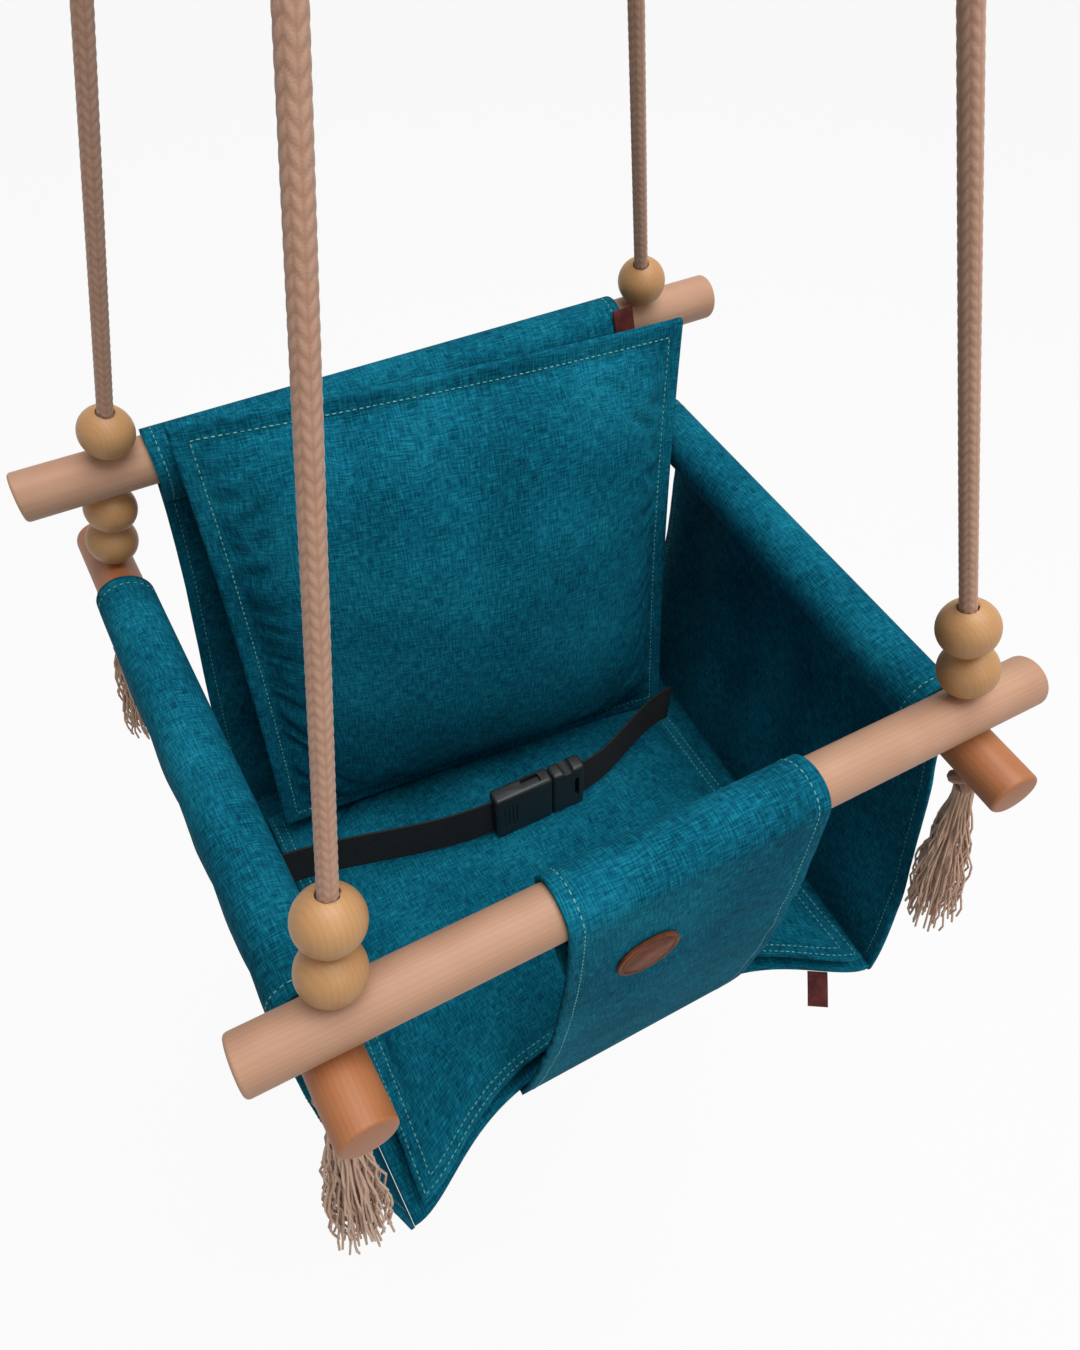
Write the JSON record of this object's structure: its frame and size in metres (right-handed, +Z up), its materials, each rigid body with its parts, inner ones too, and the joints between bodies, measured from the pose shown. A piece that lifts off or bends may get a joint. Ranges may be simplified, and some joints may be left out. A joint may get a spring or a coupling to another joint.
{
  "type": "toddler bucket swing",
  "caption": "Cloth bucket swing for a toddler, slung from wooden rods on beaded ropes that meet at one ring, with back and seat cushions, a crotch strap and a buckled belt.",
  "frame": {"origin": "the highest point of the ring's eye, where the hook bears", "axes": "+Z up, -Y towards the front rod and crotch strap, +X to the right as seen from the front"},
  "size_m": [0.467, 0.437, 1.1435],
  "materials": {
    "pale_rod_wood": "fine sanded, clear matt",
    "warm_rod_wood": "fine sanded, clear matt",
    "bead_wood": "turned, satin",
    "cotton_rope": "braided cotton",
    "cotton_yarn": "frayed cotton yarn",
    "teal_cloth": "woven, flecked",
    "black_webbing": "ribbed webbing",
    "black_plastic": "moulded, satin",
    "brown_leather": "plain, smooth",
    "red_leather": "plain, smooth",
    "ring_steel": "polished"
  },
  "bodies": {
    "ring": {"hang_ring": "ring_steel"},
    "gather": {"gather_knot": "cotton_rope"},
    "seat": {"front_rod": "pale_rod_wood", "back_rod": "pale_rod_wood", "left_side_rod": "warm_rod_wood", "right_side_rod": "warm_rod_wood", "rope_front_left": "cotton_rope", "rope_front_right": "cotton_rope", "rope_back_left": "cotton_rope", "rope_back_right": "cotton_rope", "knot_front_left": "cotton_rope", "knot_front_right": "cotton_rope", "knot_back_left": "cotton_rope", "knot_back_right": "cotton_rope", "tassel_front_left": "cotton_yarn", "tassel_front_right": "cotton_yarn", "tassel_back_left": "cotton_yarn", "tassel_back_right": "cotton_yarn", "back_panel": "teal_cloth", "left_side_panel": "teal_cloth", "right_side_panel": "teal_cloth", "seat_panel": "teal_cloth", "crotch_strap": "teal_cloth", "back_cushion": "teal_cloth", "seat_cushion": "teal_cloth", "belt_left": "black_webbing", "buckle_socket": "black_plastic", "leather_patch": "brown_leather", "leather_tag_rear": "red_leather", "leather_tag_front": "red_leather"},
    "tongue": {"buckle_tongue": "black_plastic", "belt_right": "black_webbing"},
    "prong_upper": {"buckle_prong_upper": "black_plastic"},
    "prong_lower": {"buckle_prong_lower": "black_plastic"},
    "bead_front_left_lower": {"bead_front_left_lower": "bead_wood"},
    "bead_front_right_lower": {"bead_front_right_lower": "bead_wood"},
    "bead_back_left_lower": {"bead_back_left_lower": "bead_wood"},
    "bead_back_left_middle": {"bead_back_left_middle": "bead_wood"},
    "bead_back_right_lower": {"bead_back_right_lower": "bead_wood"},
    "bead_back_right_middle": {"bead_back_right_middle": "bead_wood"},
    "bead_front_left_upper": {"bead_front_left_upper": "bead_wood"},
    "bead_front_right_upper": {"bead_front_right_upper": "bead_wood"},
    "bead_back_left_upper": {"bead_back_left_upper": "bead_wood"},
    "bead_back_right_upper": {"bead_back_right_upper": "bead_wood"}
  },
  "joints": [
    {"name": "swing", "type": "hinge", "parent": "ring", "child": "gather", "pos_m": [0, 0, -0.044], "axis": [1, 0, 0], "range_deg": [-45, 45]},
    {"name": "sway", "type": "hinge", "parent": "gather", "child": "seat", "pos_m": [0, -0.00189, -0.07494], "axis": [0, 0.9981, -0.0609], "range_deg": [-20, 20]},
    {"name": "buckle_release", "type": "slide", "parent": "seat", "child": "tongue", "axis": [1, 0, 0], "range_m": [0, 0.027]},
    {"name": "prong_upper_squeeze", "type": "hinge", "parent": "tongue", "child": "prong_upper", "pos_m": [0.0262, -0.03021, -1.04033], "axis": [0, -0.9981, 0.0609], "range_deg": [0, 6], "stiffness_Nm_per_rad": 0.3},
    {"name": "prong_lower_squeeze", "type": "hinge", "parent": "tongue", "child": "prong_lower", "pos_m": [0.0262, -0.03247, -1.07746], "axis": [0, 0.9981, -0.0609], "range_deg": [0, 6], "stiffness_Nm_per_rad": 0.3},
    {"name": "bead_front_left_lower_spin", "type": "hinge", "parent": "seat", "child": "bead_front_left_lower", "pos_m": [-0.1785, -0.21023, -0.86272], "axis": [0.214, 0.2498, 0.9444], "continuous": true},
    {"name": "bead_front_right_lower_spin", "type": "hinge", "parent": "seat", "child": "bead_front_right_lower", "pos_m": [0.1785, -0.21023, -0.86272], "axis": [-0.214, 0.2498, 0.9444], "continuous": true},
    {"name": "bead_back_left_lower_spin", "type": "hinge", "parent": "seat", "child": "bead_back_left_lower", "pos_m": [-0.196, 0.14611, -0.88445], "axis": [0.2317, -0.1749, 0.9569], "continuous": true},
    {"name": "bead_back_left_middle_spin", "type": "hinge", "parent": "seat", "child": "bead_back_left_middle", "pos_m": [-0.196, 0.14611, -0.88445], "axis": [0.2317, -0.1749, 0.9569], "continuous": true},
    {"name": "bead_back_right_lower_spin", "type": "hinge", "parent": "seat", "child": "bead_back_right_lower", "pos_m": [0.196, 0.14611, -0.88445], "axis": [-0.2317, -0.1749, 0.9569], "continuous": true},
    {"name": "bead_back_right_middle_spin", "type": "hinge", "parent": "seat", "child": "bead_back_right_middle", "pos_m": [0.196, 0.14611, -0.88445], "axis": [-0.2317, -0.1749, 0.9569], "continuous": true},
    {"name": "bead_front_left_upper_slide", "type": "slide", "parent": "seat", "child": "bead_front_left_upper", "axis": [0.214, 0.2498, 0.9444], "range_m": [0, 0.45]},
    {"name": "bead_front_right_upper_slide", "type": "slide", "parent": "seat", "child": "bead_front_right_upper", "axis": [-0.214, 0.2498, 0.9444], "range_m": [0, 0.45]},
    {"name": "bead_back_left_upper_slide", "type": "slide", "parent": "seat", "child": "bead_back_left_upper", "axis": [0.2317, -0.1749, 0.9569], "range_m": [0, 0.45]},
    {"name": "bead_back_right_upper_slide", "type": "slide", "parent": "seat", "child": "bead_back_right_upper", "axis": [-0.2317, -0.1749, 0.9569], "range_m": [0, 0.45]}
  ],
  "couplings": [
    {"joint": "prong_lower_squeeze", "follows": "prong_upper_squeeze", "ratio": 1}
  ]
}
